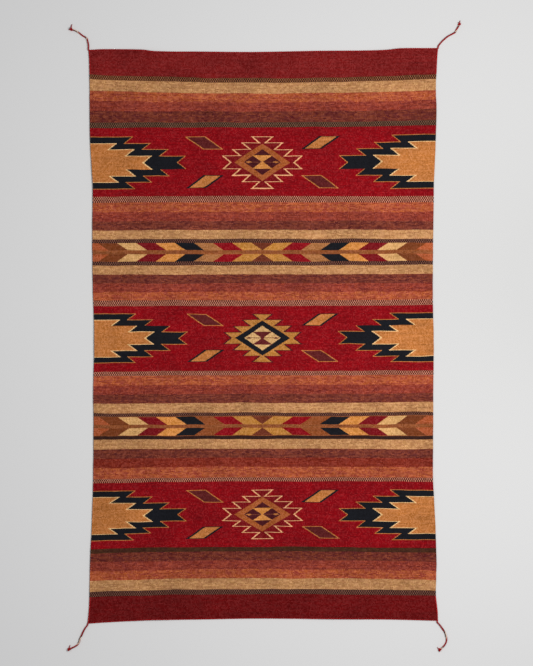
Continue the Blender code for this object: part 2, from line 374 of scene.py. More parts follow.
# The wrapped outer warps: inset from the side, and heights of the top and underside, in mm
Selvedge = namedtuple("Selvedge", "inset top bottom")
SELVEDGE = (
    Selvedge(0.0, 1.8, 1.8),
    Selvedge(0.5, 3.0, 0.5),
    Selvedge(1.5, 3.6, 0.0),
    Selvedge(3.0, 3.1, 0.3),
    Selvedge(4.2, 2.5, 0.6),
)
SELVEDGE_WIDTH = 6.0 * MM
SELVEDGE_WARPS = 2

# The cloth's two ends: inset and share of the height
CLOTH_END = ((0.0, 0.77), (1.6 * MM, 1.0))

# Low swells where the cloth doesn't lie quite flat: middle, half sizes and height, in metres
Swell = namedtuple("Swell", "x y half_x half_y height")
SWELLS = [Swell(*row) for row in (
    (-0.31, 0.77, 0.085, 0.13, 0.0026),
    (0.34, 0.775, 0.09, 0.15, 0.003),
    (-0.29, -0.775, 0.1, 0.12, 0.0024),
    (0.19, -0.77, 0.11, 0.11, 0.0018),
    (-0.47, -0.01, 0.12, 0.09, 0.0022),
    (0.47, -0.41, 0.11, 0.08, 0.0026),
    (-0.475, 0.43, 0.13, 0.09, 0.002),
    (0.475, 0.11, 0.12, 0.1, 0.0018),
)]

# Each corner cord: its route, its knot, its loose end, and how far its strands have
# turned at shares of its length. At whole turns its two red strands lie on top. Under the
# right one is the pale strand (1) or the dark one (2). The dark strand is painted shadow:
# it stands in for the cord's shadow beside it.
Corner = namedtuple("Corner", "name end route knot knot_length knot_width tail right_under turns")
CORNERS = (
    Corner(
        "top_left", 1,
        (
            (-0.4641, 0.7641), (-0.4639, 0.7710), (-0.4647, 0.7772), (-0.4676, 0.7891), (-0.4702, 0.7932),
            (-0.4743, 0.7957), (-0.4804, 0.7992), (-0.4870, 0.8043), (-0.4940, 0.8093), (-0.5019, 0.8131),
        ),
        (-0.5106, 0.8154), 0.0104, 0.0086, (-0.5091, 0.8272), 2,
        ((0.0, 0.0), (0.36, 0.04), (0.44, 0.55), (0.52, 0.95), (0.74, 1.08), (0.82, 1.5), (1.0, 1.6)),
    ),
    Corner(
        "top_right", 1,
        (
            (0.4660, 0.7690), (0.4681, 0.7730), (0.4728, 0.7790), (0.4788, 0.7854), (0.4905, 0.7955),
            (0.4990, 0.8006), (0.5075, 0.8050), (0.5118, 0.8083), (0.5146, 0.8136), (0.5184, 0.8202),
            (0.5206, 0.8246),
        ),
        (0.5226, 0.8298), 0.0092, 0.0080, (0.5244, 0.8372), 1,
        ((0.0, 0.0), (0.70, 0.06), (0.77, 0.60), (0.82, 0.88), (0.90, 1.05), (0.95, 1.4), (1.0, 1.6)),
    ),
    Corner(
        "bottom_left", -1,
        (
            (-0.4660, -0.7690), (-0.4684, -0.7720), (-0.4727, -0.7779), (-0.4777, -0.7869),
            (-0.4820, -0.7962), (-0.4862, -0.8047), (-0.4884, -0.8130), (-0.4925, -0.8206),
            (-0.4990, -0.8260), (-0.5064, -0.8298),
        ),
        (-0.5156, -0.8340), 0.0100, 0.0084, (-0.5139, -0.8252), 1,
        ((0.0, 0.0), (0.42, 0.06), (0.52, 0.54), (0.68, 0.60), (0.80, 1.0), (1.0, 1.15)),
    ),
    Corner(
        "bottom_right", -1,
        (
            (0.4638, -0.7612), (0.4662, -0.7642), (0.4708, -0.7691), (0.4775, -0.7784), (0.4836, -0.7877),
            (0.4868, -0.7962), (0.4886, -0.8050), (0.4884, -0.8122), (0.4858, -0.8192), (0.4809, -0.8260),
            (0.4762, -0.8300),
        ),
        (0.4708, -0.8350), 0.0096, 0.0082, (0.4650, -0.8302), 1,
        (
            (0.0, 0.0), (0.34, 0.06), (0.44, 0.46), (0.56, 0.56),
            (0.66, 0.98), (0.88, 1.1), (0.95, 1.6), (1.0, 1.9),
        ),
    ),
)


# Colours and nodes

def colour(name):
    """A yarn's sRGB hex as the linear colour that the shader takes."""
    code = YARNS.get(name, name)
    channels = [int(code[i:i + 2], 16) / 255 for i in (0, 2, 4)]
    linear = [c / 12.92 if c <= 0.04045 else ((c + 0.055) / 1.055) ** 2.4 for c in channels]
    return (*linear, 1.0)


def add(tree, kind, inputs=None, **settings):
    """Adds a shader node with its settings, and sets or links its inputs by name or number."""
    node = tree.nodes.new(f"ShaderNode{kind}")
    for key, value in settings.items():
        setattr(node, key, value)
    for key, value in (inputs or {}).items():
        if isinstance(value, bpy.types.Node):
            value = next(socket for socket in value.outputs if socket.enabled)
        if isinstance(value, bpy.types.NodeSocket):
            tree.links.new(value, node.inputs[key])
        else:
            node.inputs[key].default_value = value
    return node


def new_material(name, roughness, specular):
    """A material with its tree and shader."""
    material = bpy.data.materials.new(name)
    material.use_nodes = True
    shader = material.node_tree.nodes["Principled BSDF"]
    shader.inputs["Roughness"].default_value = roughness
    shader.inputs["Specular IOR Level"].default_value = specular
    return material, material.node_tree, shader


def new_wool(name, roughness, sheen, halo):
    """Wool is dull, with the halo of its loose dyed fibres."""
    material, tree, shader = new_material(name, roughness, WOOL_SPECULAR)
    shader.inputs["Sheen Weight"].default_value = sheen
    shader.inputs["Sheen Roughness"].default_value = HALO_ROUGHNESS
    shader.inputs["Sheen Tint"].default_value = colour(halo)
    return material, tree, shader


# The weave's pattern

def stepped_figure():
    """Node group: 1 on the picks that a stepped figure holds, and 0 elsewhere."""
    group = bpy.data.node_groups.new("stepped figure", "ShaderNodeTree")
    for name in ("Across", "Rows", "Start", "Step", "Slant", "Height", "Side", "Lift"):
        group.interface.new_socket(name, in_out="INPUT", socket_type="NodeSocketFloat")
    group.interface.new_socket("Held", in_out="OUTPUT", socket_type="NodeSocketFloat")
    given = group.nodes.new("NodeGroupInput").outputs
    lowered = add(group, "Math", {0: given["Rows"], 1: given["Lift"]}, operation="SUBTRACT")
    rows = add(group, "Math", {0: lowered, 1: 0.0}, operation="MAXIMUM")
    whole = add(group, "Math", {0: rows}, operation="FLOOR")
    rest = add(group, "Math", {0: rows}, operation="FRACT")
    stepped = add(group, "Math", {0: whole, 1: given["Step"], 2: given["Start"]}, operation="MULTIPLY_ADD")
    limit = add(group, "Math", {0: rest, 1: given["Slant"], 2: stepped}, operation="MULTIPLY_ADD")
    past = add(group, "Math", {0: given["Across"], 1: limit}, operation="SUBTRACT")
    sided = add(group, "Math", {0: past, 1: given["Side"]}, operation="MULTIPLY")
    held = add(group, "Math", {0: sided, 1: 0.0}, operation="GREATER_THAN")
    low = add(group, "Math", {0: rows, 1: given["Height"]}, operation="LESS_THAN")
    both = add(group, "Math", {0: held, 1: low}, operation="MULTIPLY")
    result = group.nodes.new("NodeGroupOutput")
    group.links.new(both.outputs[0], result.inputs["Held"])
    return group


def weave_places(tree):
    """Where a point of the cloth is: its warp, its pick, and its place within that bead."""
    woven = add(tree, "Attribute", attribute_name="weave").outputs["Vector"]
    across, along, inset = add(tree, "SeparateXYZ", {0: woven}).outputs

    stretch = add(tree, "VectorMath", {0: woven, 1: WANDER_RATE}, operation="MULTIPLY")
    wander = add(tree, "TexNoise", {"Vector": stretch, "Scale": 1.0, "Detail": 2.0})
    uneven = add(tree, "Math", {0: wander, 1: 0.5}, operation="SUBTRACT")
    beaten = add(tree, "Math", {0: uneven, 1: WANDER_SIZE, 2: along}, operation="MULTIPLY_ADD")

    shifted = add(tree, "Math", {0: across, 1: 0.5}, operation="ADD")
    warp = add(tree, "Math", {0: shifted}, operation="FLOOR")
    centred = add(tree, "Math", {0: across, 1: MIDDLE_WARP}, operation="SUBTRACT")
    halves = add(tree, "Math", {0: centred, 1: 2.0, 2: 0.5}, operation="MULTIPLY_ADD")
    half = add(tree, "Math", {0: halves}, operation="FLOOR")
    turned = add(tree, "Math", {0: half, 1: 0.5}, operation="MULTIPLY")
    counted = add(tree, "Math", {0: beaten, 1: 1 / PICK}, operation="MULTIPLY")
    pick = add(tree, "Math", {0: counted}, operation="FLOOR")
    middle = add(tree, "Math", {0: pick, 1: 0.5}, operation="ADD")
    row = add(tree, "Math", {0: middle, 1: PICK}, operation="MULTIPLY")
    halved = add(tree, "Math", {0: pick, 1: 0.5}, operation="MULTIPLY")
    pair = add(tree, "Math", {0: halved}, operation="FLOOR")
    slid = add(tree, "Math", {0: pair, 1: FLECK_SET_OFF, 2: warp}, operation="MULTIPLY_ADD")
    shared = add(tree, "Math", {0: slid, 1: 1 / FLECK_WARPS}, operation="MULTIPLY")
    length = add(tree, "Math", {0: shared}, operation="FLOOR")
    return {
        "woven": woven,
        "inset": inset,
        "warp": warp,
        "row": row,
        "speck": add(tree, "CombineXYZ", {0: warp, 1: pair}),
        "fleck": add(tree, "CombineXYZ", {0: length, 1: pair}),
        "off_warp": add(tree, "Math", {0: across, 1: warp}, operation="SUBTRACT"),
        "off_pick": add(tree, "Math", {0: beaten, 1: row}, operation="SUBTRACT"),
        "across": add(tree, "Math", {0: turned}, operation="ABSOLUTE"),
    }


def stripe_pair(stripe):
    """A stripe's two yarns, and 1 if they change bead by bead or 0 if it is heathered."""
    yarn, partner = (stripe.yarn, stripe.beads) if stripe.beads else HEATHERED[stripe.yarn]
    return colour(yarn), colour(partner), float(bool(stripe.beads))


def stripe_yarns(tree, place):
    """The stripes' yarn at a pick: two yarns that change bead by bead, or in soft streaks
    and single flecks."""
    first, second, beaded = stripe_pair(STRIPES[0])
    for above, stripe in zip(STRIPES, STRIPES[1:]):
        yarn, partner, in_beads = stripe_pair(stripe)
        inside = add(tree, "Math", {0: place["row"], 1: above.bottom}, operation="LESS_THAN")
        first = add(tree, "Mix", {0: inside, 6: first, 7: yarn}, data_type="RGBA")
        second = add(tree, "Mix", {0: inside, 6: second, 7: partner}, data_type="RGBA")
        if bool(stripe.beads) != bool(above.beads):
            beaded = add(tree, "Mix", {0: inside, 2: beaded, 3: in_beads})

    bead_row = add(tree, "Math", {0: place["row"], 1: 1 / BEAD_ROW}, operation="MULTIPLY")
    row_number = add(tree, "Math", {0: bead_row}, operation="FLOOR")
    count = add(tree, "Math", {0: row_number, 1: place["warp"]}, operation="ADD")
    turn = add(tree, "Math", {0: count, 1: 2.0}, operation="FLOORED_MODULO")

    drawn = add(tree, "VectorMath", {0: place["woven"], 1: STREAK_RATE}, operation="MULTIPLY")
    streak = add(tree, "TexNoise", {"Vector": drawn, "Scale": 1.0, "Detail": 4.0, "Roughness": 0.7})
    low, high = STREAK_SPREAD
    spread = add(tree, "MapRange", {0: streak, 1: low, 2: high})
    fleck = add(tree, "TexWhiteNoise", {"Vector": place["fleck"]}, noise_dimensions="2D")
    heather = add(tree, "Mix", {0: FLECK_SHARE, 2: spread, 3: fleck})
    change = add(tree, "Mix", {0: beaded, 2: heather, 3: turn})
    return add(tree, "Mix", {0: change, 6: first, 7: second}, data_type="RGBA")


def lay_feathers(tree, place, below):
    """Leaning blocks of plain yarn on both sides of the spine in the two feather bands."""
    low, high = FEATHER_MIDDLES
    upper = add(tree, "Math", {0: place["row"], 1: 0.0}, operation="GREATER_THAN")
    middle = add(tree, "Math", {0: upper, 1: high - low, 2: low}, operation="MULTIPLY_ADD")
    off = add(tree, "Math", {0: place["row"], 1: middle}, operation="SUBTRACT")
    away = add(tree, "Math", {0: off}, operation="ABSOLUTE")
    reach = {0: away, 1: SPINE_HALF, 2: FEATHER_HALF, 4: FEATHER_LEAN}
    lean = add(tree, "MapRange", reach, clamp=False)
    upright = add(tree, "Math", {0: place["across"], 1: lean}, operation="SUBTRACT")
    block = add(tree, "Math", {0: upright, 1: 1 / FEATHER_WIDTH}, operation="MULTIPLY")
    whole = add(tree, "Math", {0: block}, operation="FLOOR")
    yarns = LOWER_FEATHERS + UPPER_FEATHERS
    count = len(yarns)
    number = add(tree, "Math", {0: upper, 1: count / 2, 2: whole}, operation="MULTIPLY_ADD")
    # Blocks count from -1, and each is read at the middle of its share of the ramp
    read_at = {0: number, 1: 1 / count, 2: 1.5 / count}
    at = add(tree, "Math", read_at, operation="MULTIPLY_ADD")
    blocks = add(tree, "ValToRGB", {0: at})
    ramp = blocks.color_ramp
    ramp.interpolation = "CONSTANT"
    ramp.elements.remove(ramp.elements[1])
    ramp.elements[0].position = 0.0
    ramp.elements[0].color = colour(yarns[0])
    for index, yarn in enumerate(yarns[1:], 1):
        ramp.elements.new(index / count).color = colour(yarn)
    past_spine = add(tree, "Math", {0: away, 1: SPINE_HALF}, operation="GREATER_THAN")
    in_band = add(tree, "Math", {0: away, 1: FEATHER_HALF}, operation="LESS_THAN")
    held = add(tree, "Math", {0: past_spine, 1: in_band}, operation="MULTIPLY")
    return add(tree, "Mix", {0: held, 6: below, 7: blocks}, data_type="RGBA")


def lay_figures(tree, place, below):
    """The stepped figures of the three red bands, laid one over another."""
    middle, height = BANDS[0].middle, BANDS[0].row_height
    reached = []
    for band in BANDS[1:]:
        over = add(tree, "Math", {0: place["row"], 1: band.above}, operation="GREATER_THAN")
        middle = add(tree, "Mix", {0: over, 2: middle, 3: band.middle})
        height = add(tree, "Mix", {0: over, 2: height, 3: band.row_height})
        reached.append(over)
    in_middle_band = add(tree, "Math", {0: reached[0], 1: reached[1]}, operation="SUBTRACT")

    off = add(tree, "Math", {0: place["row"], 1: middle}, operation="SUBTRACT")
    away = add(tree, "Math", {0: off}, operation="ABSOLUTE")
    rows = add(tree, "Math", {0: away, 1: height}, operation="DIVIDE")
    from_dash = add(tree, "Math", {0: place["across"], 1: DASH_FROM_MIDDLE}, operation="SUBTRACT")
    leaning = add(tree, "Math", {0: rows, 1: -TILTED_SLANT, 2: place["across"]}, operation="MULTIPLY_ADD")
    from_tilted = add(tree, "Math", {0: leaning, 1: TILTED_START}, operation="SUBTRACT")
    from_row = add(tree, "Math", {0: rows, 1: TILTED_ROW}, operation="SUBTRACT")
    measures = {
        "middle": (place["across"], rows),
        "dash": (add(tree, "Math", {0: from_dash}, operation="ABSOLUTE"), rows),
        "tilted": (
            add(tree, "Math", {0: from_tilted}, operation="ABSOLUTE"),
            add(tree, "Math", {0: from_row}, operation="ABSOLUTE"),
        ),
    }
    crossed = add(tree, "Math", {0: place["warp"], 1: off}, operation="MULTIPLY")
    quarters = {
        1: add(tree, "Math", {0: crossed, 1: 0.0}, operation="GREATER_THAN"),
        -1: add(tree, "Math", {0: crossed, 1: 0.0}, operation="LESS_THAN"),
    }

    group = stepped_figure()
    laid = below
    for figure in FIGURES:
        across, counted = measures[figure.measure]
        start = figure.start - figure.side * (figure.grow + abs(figure.slant) * figure.lift)
        given = {"Across": across, "Rows": counted, "Start": start}
        for part in ("Step", "Slant", "Height", "Side", "Lift"):
            given[part] = getattr(figure, part.lower())
        held = add(tree, "Group", given, node_tree=group)
        if figure.quarter:
            held = add(tree, "Math", {0: held, 1: quarters[figure.quarter]}, operation="MULTIPLY")
        yarns = {0: in_middle_band, 6: colour(figure.outer), 7: colour(figure.middle or figure.outer)}
        yarn = add(tree, "Mix", yarns, data_type="RGBA")
        laid = add(tree, "Mix", {0: held, 6: laid, 7: yarn}, data_type="RGBA")
    return laid


def lay_side_cord(tree, place, below):
    """The side cord shows its own red beside the two plain end bands."""
    outer = add(tree, "Math", {0: place["inset"], 1: SIDE_CORD_WIDTH}, operation="LESS_THAN")
    away = add(tree, "Math", {0: place["row"]}, operation="ABSOLUTE")
    at_end = add(tree, "Math", {0: away, 1: SIDE_CORD_FROM}, operation="GREATER_THAN")
    held = add(tree, "Math", {0: outer, 1: at_end}, operation="MULTIPLY")
    return add(tree, "Mix", {0: held, 6: below, 7: colour("cord red")}, data_type="RGBA")


def uneven_dye_and_fibre_sheen(tree, place, dyed):
    """Hand-dyed wool isn't even: slow clouds, darker rows, streaks along the weft and along
    the ribs, and single beads. The lightest beads also get a painted sheen of loose fibres."""
    # Set apart from the flecks' own random numbers
    apart = add(tree, "VectorMath", {0: place["speck"], 1: (0.0, 0.0, 7.0)}, operation="ADD")
    speck = add(tree, "TexWhiteNoise", {"Vector": apart}, noise_dimensions="3D")
    even = 1 - (BEAD_CHANGE + sum(change.share for change in DYE_CHANGES)) / 2
    value = add(tree, "Math", {0: speck, 1: BEAD_CHANGE, 2: even}, operation="MULTIPLY_ADD")
    for change in DYE_CHANGES:
        rate = (change.across, change.along, 0.0)
        drawn = add(tree, "VectorMath", {0: place["woven"], 1: rate}, operation="MULTIPLY")
        uneven = add(tree, "TexNoise", {"Vector": drawn, "Scale": 1.0, "Detail": 3.0})
        value = add(tree, "Math", {0: uneven, 1: change.share, 2: value}, operation="MULTIPLY_ADD")
    # The lightest beads are a little paler too: a painted sheen of the loose fibres that stand off them
    dip = {0: speck, 1: -PAINTED_SHEEN_PALER, 2: 1 + PAINTED_SHEEN_PALER / 2}
    sheen_saturation = add(tree, "Math", dip, operation="MULTIPLY_ADD")
    return add(tree, "HueSaturation", {"Saturation": sheen_saturation, "Value": value, "Color": dyed})


def weave_relief(tree, place):
    """Height of the ribs over the warps, and of the weft's beads along each rib."""
    beside = add(tree, "Math", {0: place["off_warp"], 1: 2.0}, operation="MULTIPLY")
    squared = add(tree, "Math", {0: beside, 1: beside}, operation="MULTIPLY")
    under = add(tree, "Math", {0: 1.0, 1: squared}, operation="SUBTRACT")
    rib = add(tree, "Math", {0: under, 1: RIB_ROUNDNESS}, operation="POWER")
    along = add(tree, "Math", {0: place["off_pick"], 1: 2 / PICK}, operation="MULTIPLY")
    bowed = add(tree, "Math", {0: along, 1: along}, operation="MULTIPLY")
    bead = add(tree, "Math", {0: 1.0, 1: bowed}, operation="SUBTRACT")
    plump = add(tree, "Math", {0: bead, 1: BEAD_SHARE, 2: 1 - BEAD_SHARE}, operation="MULTIPLY_ADD")
    combed = add(tree, "VectorMath", {0: place["woven"], 1: FIBRE_RATE}, operation="MULTIPLY")
    fibre = add(tree, "TexNoise", {"Vector": combed, "Scale": 1.0, "Detail": 3.0})
    height = add(tree, "Math", {0: rib, 1: plump}, operation="MULTIPLY")
    rough = add(tree, "Math", {0: fibre, 1: FIBRE_SHARE, 2: height}, operation="MULTIPLY_ADD")
    return rough, height


def tapestry_wool():
    """Weft-faced tapestry in hand-spun, hand-dyed wool: the eye sees dull flat areas of
    colour with stepped edges, broken into fine ribs along the warp and beads across it."""
    material, tree, shader = new_wool("hand-woven wool tapestry", roughness=0.93, sheen=0.10, halo="c0403a")
    place = weave_places(tree)
    yarn = stripe_yarns(tree, place)
    yarn = lay_feathers(tree, place, yarn)
    yarn = lay_figures(tree, place, yarn)
    yarn = lay_side_cord(tree, place, yarn)
    yarn = uneven_dye_and_fibre_sheen(tree, place, yarn)
    rough, height = weave_relief(tree, place)
    # Painted shade: the yarn's colour is darkened in the grooves between the ribs and lightened a little on
    # their crests
    sunk = add(tree, "MapRange", {0: height, 2: CREST_HEIGHT, 3: PAINTED_GROOVE_SHADE, 4: PAINTED_CREST_LIGHT})
    shaded = add(tree, "VectorMath", {0: yarn, "Scale": sunk}, operation="SCALE")
    bump = add(tree, "Bump", {"Height": rough, "Distance": WEAVE_RELIEF})
    tree.links.new(shaded.outputs[0], shader.inputs["Base Color"])
    tree.links.new(bump.outputs[0], shader.inputs["Normal"])
    return material


def plied_wool(name, yarn, deep, halo):
    """A thick strand of spun wool: the eye sees a groove that winds round it, painted
    shade in the groove that darkens the dye, and no shine."""
    material, tree, shader = new_wool(name, roughness=0.92, sheen=0.5, halo=halo)
    spun = add(tree, "Attribute", attribute_name="spun").outputs["Vector"]
    around, along, _share = add(tree, "SeparateXYZ", {0: spun}).outputs
    slant = add(tree, "Math", {0: along, 1: math.tau / SPIN_TURN, 2: around}, operation="MULTIPLY_ADD")
    wave = add(tree, "Math", {0: slant}, operation="SINE")
    stretch = add(tree, "VectorMath", {0: spun, 1: SPIN_FIBRE_RATE}, operation="MULTIPLY")
    fibre = add(tree, "TexNoise", {"Vector": stretch, "Scale": 1.0, "Detail": 4.0})
    height = add(tree, "Math", {0: wave, 1: SPIN_GROOVE, 2: fibre}, operation="MULTIPLY_ADD")
    low, high = SPIN_SHADE_HEIGHTS
    # Painted shade: the strand's colour darkens to its deep colour in the winding groove
    groove_shade_mix = add(tree, "MapRange", {0: height, 1: low, 2: high})
    dyed = add(tree, "Mix", {0: groove_shade_mix, 6: colour(deep), 7: colour(yarn)}, data_type="RGBA")
    bump = add(tree, "Bump", {"Height": height, "Distance": SPIN_RELIEF})
    tree.links.new(dyed.outputs[2], shader.inputs["Base Color"])
    tree.links.new(bump.outputs[0], shader.inputs["Normal"])
    return material


# Shapes shared with the solids

def smooth_column(rows, key, column, at):
    """A table's column, read along the smooth curve that runs through its rows."""
    places = [getattr(row, key) for row in rows]
    values = [getattr(row, column) for row in rows]
    low = min(max(bisect(places, at) - 1, 0), len(rows) - 2)
    span = places[low + 1] - places[low]

    def slope(index):
        before = max(index - 1, 0)
        after = min(index + 1, len(rows) - 1)
        return (values[after] - values[before]) / (places[after] - places[before]) * span

    f = min(max((at - places[low]) / span, 0.0), 1.0)
    return (
        (2 * f**3 - 3 * f**2 + 1) * values[low]
        + (f**3 - 2 * f**2 + f) * slope(low)
        + (3 * f**2 - 2 * f**3) * values[low + 1]
        + (f**3 - f**2) * slope(low + 1)
    )


def half_length(across, towards):
    """From the middle line to the outside of the end cord, at a fraction of the width."""
    return smooth_column(ENDS, "across", "top" if towards > 0 else "bottom", across)


def half_width(y, towards):
    return smooth_column(SIDES, "y", "right" if towards > 0 else "left", y)


def swell(x, y):
    """How far the underside is lifted off the surface."""
    lift = 0.0
    for row in SWELLS:
        distance = ((x - row.x) / row.half_x) ** 2 + ((y - row.y) / row.half_y) ** 2
        lift += row.height * max(0.0, 1 - distance) ** 2
    return lift


def pattern_along(across, y):
    """A point's place along the pattern in mm: the stripes droop or rise to the sides."""
    low = smooth_column(DRIFTS, "y", "right" if across > 0 else "left", y / MM)
    return y / MM + low * across**2


def place_object(name, data):
    item = bpy.data.objects.new(name, data)
    bpy.context.scene.collection.objects.link(item)
    return item


def make_mesh(name, vertices, faces, materials, attribute=None, values=(), face_materials=()):
    mesh = bpy.data.meshes.new(name)
    mesh.from_pydata(vertices, [], faces)
    if attribute:
        layer = mesh.attributes.new(attribute, "FLOAT_VECTOR", "POINT")
        layer.data.foreach_set("vector", [number for value in values for number in value])
    for material in materials:
        mesh.materials.append(material)
    if face_materials:
        mesh.polygons.foreach_set("material_index", face_materials)
    mesh.shade_smooth()
    return place_object(name, mesh)


# Cloth

def cloth_columns():
    """Lines of points along the warp: share of the width, inset, warp count, top, underside."""
    half = WARPS / 2
    inner = half - SELVEDGE_WARPS
    left = []
    for row in SELVEDGE:
        inset, top, bottom = (size * MM for size in row)
        warp = half - SELVEDGE_WARPS * inset / SELVEDGE_WIDTH
        left.append((-1.0, inset, -warp, top, bottom))
    right = [(1.0, inset, -warp, top, bottom) for _share, inset, warp, top, bottom in reversed(left)]
    middle = []
    for step in range(int(4 * inner) + 1):
        warp = step / 2 - inner
        sunk = 0.0 if (warp % 1.0) == 0.0 else RIB_DEPTH
        middle.append((warp / inner, SELVEDGE_WIDTH, warp, CLOTH_THICKNESS - sunk, sunk))
    return left + middle + right


def cloth_rows():
    """Lines of points across the warp: share of the length, inset, share of the height."""
    bottom = [(-1.0, inset, share) for inset, share in CLOTH_END]
    top = [(1.0, inset, share) for inset, share in reversed(CLOTH_END)]
    margin = CLOTH_END[-1][0]
    inner = [(2 * i / (INNER_ROWS + 1) - 1, margin, 1.0) for i in range(1, INNER_ROWS + 1)]
    return bottom + inner + top


def build_cloth(material):
    chance = random.Random(7)
    columns = cloth_columns()
    rows = cloth_rows()
    across_count = len(columns)
    reaches = {
        end: [half_length(share, end) - END_CORD_DIAMETER + UNDER_END_CORD for share, *_rest in columns]
        for end in (-1, 1)
    }
    vertices, values = [], []
    for along, end_inset, share_of_height in rows:
        wander = {side: chance.uniform(-1, 1) * EDGE_WANDER for side in (-1, 1)}
        top_line, under_line = [], []
        reach = reaches[1 if along > 0 else -1]
        y_of_side = along * (reach[0] - end_inset)
        sides = {side: half_width(y_of_side, side) + wander[side] for side in (-1, 1)}
        for index, (share, inset, warp, top, bottom) in enumerate(columns):
            y = along * (reach[index] - end_inset)
            x = share * (sides[1 if share > 0 else -1] - inset)
            lift = swell(x, y)
            place = (warp, pattern_along(share, y), inset / MM)
            top_line.append(((x, y, lift + top * share_of_height), place))
            under_line.append(((x, y, lift + bottom), place))
        ring = top_line + under_line[-2:0:-1]
        vertices += [point for point, _place in ring]
        values += [place for _point, place in ring]

    around = 2 * across_count - 2
    faces = []
    for row in range(len(rows) - 1):
        start, after = row * around, (row + 1) * around
        for step in range(around):
            turn = (step + 1) % around
            faces.append((start + step, start + turn, after + turn, after + step))
    # The two ends are closed from side to side, where the top and underside share a point
    for start, flip in ((0, False), ((len(rows) - 1) * around, True)):
        under = [start] + [start + around - step for step in range(1, across_count - 1)]
        under.append(start + across_count - 1)
        for step in range(across_count - 1):
            corners = [start + step, under[step], under[step + 1], start + step + 1]
            face = list(dict.fromkeys(corners))
            faces.append(tuple(reversed(face)) if flip else tuple(face))
    cloth = make_mesh("tapestry_cloth", vertices, faces, [material], "weave", values)
    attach(cloth, "root")
    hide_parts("cloth")
    return cloth


# Cords

def read_turns(turns, share):
    for (low, first), (high, last) in zip(turns, turns[1:]):
        if share <= high:
            return first + (last - first) * (share - low) / (high - low)
    return turns[-1][1]


def running_lengths(points):
    lengths = [0.0]
    for a, b in zip(points, points[1:]):
        lengths.append(lengths[-1] + (b - a).length)
    return lengths


def lay_strand(path, offset, angle_at, radius_at, kind=0, sides=8):
    """One strand that winds round a path: points, faces, spun places and its material."""
    lengths = running_lengths(path)
    middles = []
    for index, point in enumerate(path):
        ahead = path[min(index + 1, len(path) - 1)] - path[max(index - 1, 0)]
        aside = ahead.cross(Vector((0, 0, 1))).normalized()
        up = aside.cross(ahead).normalized()
        angle = angle_at(lengths[index] / lengths[-1], lengths[index])
        middles.append(point + offset * (math.sin(angle) * aside + math.cos(angle) * up))
    vertices, values = [], []
    for index, middle in enumerate(middles):
        ahead = middles[min(index + 1, len(path) - 1)] - middles[max(index - 1, 0)]
        aside = ahead.cross(Vector((0, 0, 1)))
        aside = aside.normalized() if aside.length > 1e-9 else Vector((1, 0, 0))
        up = aside.cross(ahead).normalized()
        share = lengths[index] / lengths[-1]
        radius = radius_at(share)
        for step in range(sides):
            turn = math.tau * step / sides
            vertices.append(middle + radius * (math.cos(turn) * aside + math.sin(turn) * up))
            values.append((turn, lengths[index] / MM, share))
    faces = []
    for index in range(len(path) - 1):
        for step in range(sides):
            a, b = index * sides + step, index * sides + (step + 1) % sides
            faces.append((a, b, b + sides, a + sides))
    faces.append(tuple(reversed(range(sides))))
    last = (len(path) - 1) * sides
    faces.append(tuple(range(last, last + sides)))
    return vertices, faces, values, kind


def join_strands(name, strands, materials):
    """One mesh of several laid strands."""
    vertices, faces, values, kinds = [], [], [], []
    for points, sides, places, kind in strands:
        base = len(vertices)
        vertices += [tuple(point) for point in points]
        faces += [tuple(corner + base for corner in side) for side in sides]
        values += places
        kinds += [kind] * len(sides)
    return make_mesh(name, vertices, faces, materials, "spun", values, kinds)


def build_end_cord(name, end, material):
    """Two plies twined over the warp ends, one turn for every four warps."""
    radius = END_CORD_DIAMETER / 2
    path = []
    for step in range(END_CORD_STEPS + 1):
        across = 2 * step / END_CORD_STEPS - 1
        y = end * (half_length(across, end) - radius)
        x = across * half_width(y, across)
        path.append(Vector((x, y, radius + swell(x, y))))
    strands = []
    for ply in range(2):

        def angle_at(_share, length, start=ply * math.pi):
            return start + math.tau * length / END_PLY_TURN

        off_centre = radius - END_PLY_RADIUS
        strands.append(lay_strand(path, off_centre, angle_at, lambda _share: END_PLY_RADIUS, sides=6))
    cord = join_strands(f"twined_{name}", strands, [material])
    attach(cord, "root")
    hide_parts(name)
    return cord


def smooth_route(route, spacing):
    """Points at an even spacing along the smooth curve through a route's own points."""
    knots = [Vector(point) for point in route]
    dense = []
    for i in range(len(knots) - 1):
        before = knots[max(i - 1, 0)]
        after = knots[min(i + 2, len(knots) - 1)]
        a, b = knots[i], knots[i + 1]
        for step in range(20):
            f = step / 20
            dense.append(
                0.5 * (2 * a + (b - before) * f + (2 * before - 5 * a + 4 * b - after) * f**2
                       + (3 * a - before - 3 * b + after) * f**3)
            )
    dense.append(knots[-1])
    lengths = running_lengths(dense)
    count = max(2, round(lengths[-1] / spacing))
    even = []
    for i in range(count + 1):
        at = lengths[-1] * i / count
        low = min(max(bisect(lengths, at) - 1, 0), len(dense) - 2)
        f = (at - lengths[low]) / (lengths[low + 1] - lengths[low])
        even.append(dense[low].lerp(dense[low + 1], f))
    return even


def cord_path(corner):
    """The corner cord's centre line, from the end cord into its knot."""
    start_x, start_y = corner.route[0]
    across = math.copysign(1.0, start_x)
    edge = corner.end * (half_length(across, corner.end) - END_CORD_DIAMETER / 2)
    outside = corner.end * (half_length(across, corner.end) + GAP + CORD_START_RISE)
    flat = [(start_x, edge), (start_x, outside), *corner.route[1:]]
    knot = Vector(corner.knot)
    flat.append(tuple(knot.lerp(Vector(flat[-1]), SHORT_OF_KNOT)))
    return smooth_route([(x, y, CORD_RADIUS) for x, y in flat], CORD_STEP)


